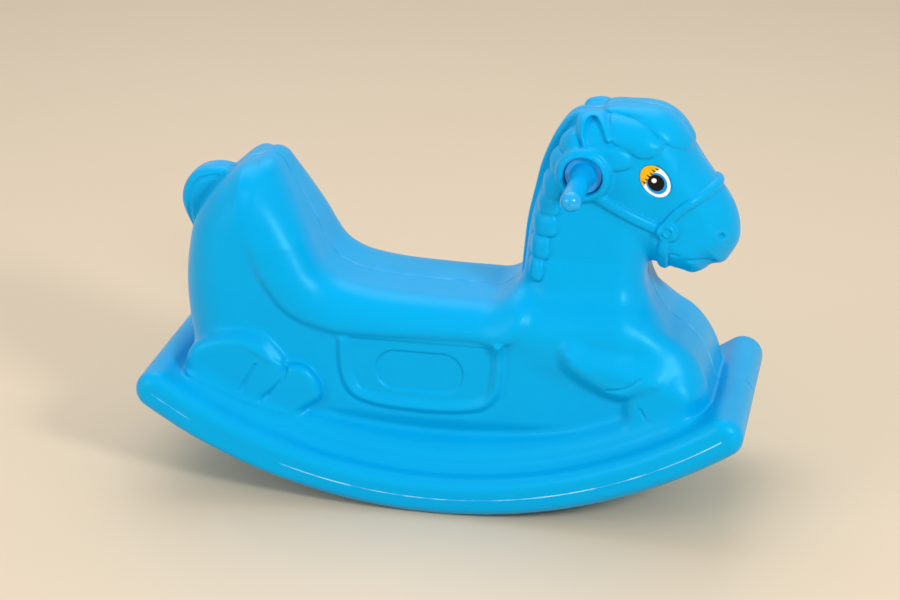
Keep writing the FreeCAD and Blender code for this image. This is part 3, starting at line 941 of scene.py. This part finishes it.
def plate(name, outlineXz, side, level, thickness, material):
    # a thin flat layer of the label
    points = np.array(outlineXz, float)
    n = len(points)
    depth = side * (level + thickness)
    front = np.column_stack([points[:, 0], np.full(n, depth), points[:, 1]])
    back = np.column_stack([points[:, 0], np.full(n, side * level), points[:, 1]])
    mesh = bpy.data.meshes.new(name)
    order = range(n) if side < 0 else range(n - 1, -1, -1)
    faces = [list(order)]
    for i in range(n):
        j = (i + 1) % n
        edge = (i, n + i, n + j, j)
        faces.append(edge if side < 0 else edge[::-1])
    mesh.from_pydata((np.vstack([front, back]) * mm).tolist(), [], faces)
    mesh.materials.append(material)
    thing = bpy.data.objects.new(name, mesh)
    bpy.context.scene.collection.objects.link(thing)
    return thing


def oval(midX, midZ, halfLong, halfWide, tilt, count):
    # an oval as a ring of points, its long axis tilted up from X
    turn = math.radians(tilt)
    out = []
    for i in range(count):
        a = 2 * math.pi * i / count
        u, v = halfLong * math.cos(a), halfWide * math.sin(a)
        x = midX + u * math.cos(turn) - v * math.sin(turn)
        z = midZ + u * math.sin(turn) + v * math.cos(turn)
        out.append((x, z))
    return out


inks = {part: printedVinyl("printedInk_" + part, eye[part]) for part in ("white", "iris", "pupil", "lid")}


def lidLine(t):
    # how far along the label the lid's edge is, from one side of the label (-1) to the other (1)
    return eye["lidReach"] + eye["lidBow"] * (1 - t * t) - eye["lidSlant"] * t


def makeEye(side):
    # an oval label: white of the eye, blue iris, black pupil with a glint, orange lid with lashes
    label = "rightEye" if side < 0 else "leftEye"
    film, tilt = eye["film"], eye["tilt"]
    halfLong, halfWide = eye["length"] / 2, eye["width"] / 2
    rim = oval(eyeX, eyeZ, halfLong, halfWide, tilt, 64)
    layers = [plate(label + "White", rim, side, eyeY, film * 2, inks["white"])]
    level = eyeY + film * 2
    for part, ink, turn, count in (("iris", "iris", tilt, 64), ("pupil", "pupil", tilt, 64),
                                   ("glint", "white", 0, 24)):
        shiftX, shiftZ = eye[part + "Shift"]
        outline = oval(eyeX + shiftX, eyeZ + shiftZ, *eye[part + "Half"], turn, count)
        layers.append(plate(label + part.capitalize(), outline, side, level, film, inks[ink]))
        level += film

    # the lid: the part of the oval up and to the rear of a line bowed over the pupil
    middle = np.array([eyeX, eyeZ])
    turn = math.radians(tilt)
    along = np.array([math.cos(turn), math.sin(turn)])
    aside = np.array([-math.sin(turn), math.cos(turn)])
    lidRim = []
    for point in oval(eyeX, eyeZ, halfLong, halfWide, tilt, 96):
        offset = np.array(point) - middle
        t = offset @ aside / halfWide
        if offset @ along > lidLine(t):
            lidRim.append((t, point))
    lidRim = [point for t, point in sorted(lidRim)]
    places = [t for t in np.linspace(-1, 1, 15) if abs(t) < 0.9]
    lidEdge = [middle + along * lidLine(t) + aside * t * halfWide for t in places]
    lid = lidRim + [tuple(point) for point in lidEdge[::-1]]
    layers.append(plate(label + "Lid", lid, side, eyeY + film * 4, film, inks["lid"]))
    for number, foot in enumerate(lidEdge[1:-1:2]):
        half = aside * eye["lashHalfWidth"]
        tip = foot + along * eye["lashLengths"][number % 2] + aside * eye["lashSweep"]
        lash = [foot - half, foot + half, tip]
        layers.append(plate(label + "Lash%d" % number, lash, side, eyeY + film * 5, film, inks["pupil"]))

    bpy.ops.object.select_all(action="DESELECT")
    for layer in layers:
        layer.select_set(True)
    bpy.context.view_layer.objects.active = layers[0]
    bpy.ops.object.join()
    layers[0].name = label + "Label"
    return layers[0]


for side, node in ((-1, "eye_label_right"), (1, "eye_label_left")):
    label = makeEye(side)
    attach(label, "horse")
    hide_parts(node)
print("eye labels made")

studio = {
    "floorSize": 14.0,
    "keyPower": 84.0,
    "fillPower": 40.0,
    "topPower": 38.0,
    "skyColour": "#F3F1EE",
    "skyStrength": 0.66,
}


def makeFloor():
    half = studio["floorSize"] / 2
    mesh = bpy.data.meshes.new("floor")
    corners = [(-half, -half, 0), (half, -half, 0), (half, half, 0), (-half, half, 0)]
    mesh.from_pydata(corners, [], [(0, 1, 2, 3)])
    mesh.materials.append(paintedFloor())
    floor = bpy.data.objects.new("floor", mesh)
    bpy.context.scene.collection.objects.link(floor)


def makeLamp(name, place, target, size, power, colour="#FFFFFF"):
    lamp = bpy.data.lights.new(name, "AREA")
    lamp.shape = "RECTANGLE"
    lamp.size, lamp.size_y = size
    lamp.energy = power
    lamp.color = linear(colour)[:3]
    thing = bpy.data.objects.new(name, lamp)
    bpy.context.scene.collection.objects.link(thing)
    thing.location = place
    thing.rotation_mode = "QUATERNION"
    thing.rotation_quaternion = (Vector(target) - Vector(place)).to_track_quat("-Z", "Y")


makeFloor()
middle = (0.0, 0.0, 0.25)
makeLamp("keyLight", (2.6, -2.4, 2.2), middle, (0.8, 0.6), studio["keyPower"])
makeLamp("fillLight", (-2.4, -2.6, 1.6), middle, (2.2, 1.6), studio["fillPower"])
makeLamp("topLight", (-0.4, 1.2, 3.0), middle, (3.0, 2.2), studio["topPower"])
world = bpy.data.worlds.new("studio")
bpy.context.scene.world = world
world.use_nodes = True
background = world.node_tree.nodes["Background"]
background.inputs["Color"].default_value = linear(studio["skyColour"])
background.inputs["Strength"].default_value = studio["skyStrength"]
bpy.context.scene.view_settings.view_transform = "Standard"

view = {
    "place": (0.602166, -2.965353, 1.444077),
    "turn": 11.5815,       # degrees round the horse from a square side view
    "height": 21.6870,     # degrees above the horizon
    "lens": 100.0,
}


def makeCamera():
    # a long lens looking down on the right side, a little from the front
    camera = bpy.data.cameras.new("camera")
    camera.lens = view["lens"]
    camera.sensor_width = 36.0
    thing = bpy.data.objects.new("camera", camera)
    bpy.context.scene.collection.objects.link(thing)
    turn, height = math.radians(view["turn"]), math.radians(view["height"])
    ahead = Vector((-math.sin(turn) * math.cos(height), math.cos(turn) * math.cos(height), -math.sin(height)))
    thing.location = view["place"]
    thing.rotation_mode = "QUATERNION"
    thing.rotation_quaternion = ahead.to_track_quat("-Z", "Y")
    bpy.context.scene.camera = thing


makeCamera()
print("stage and camera made")
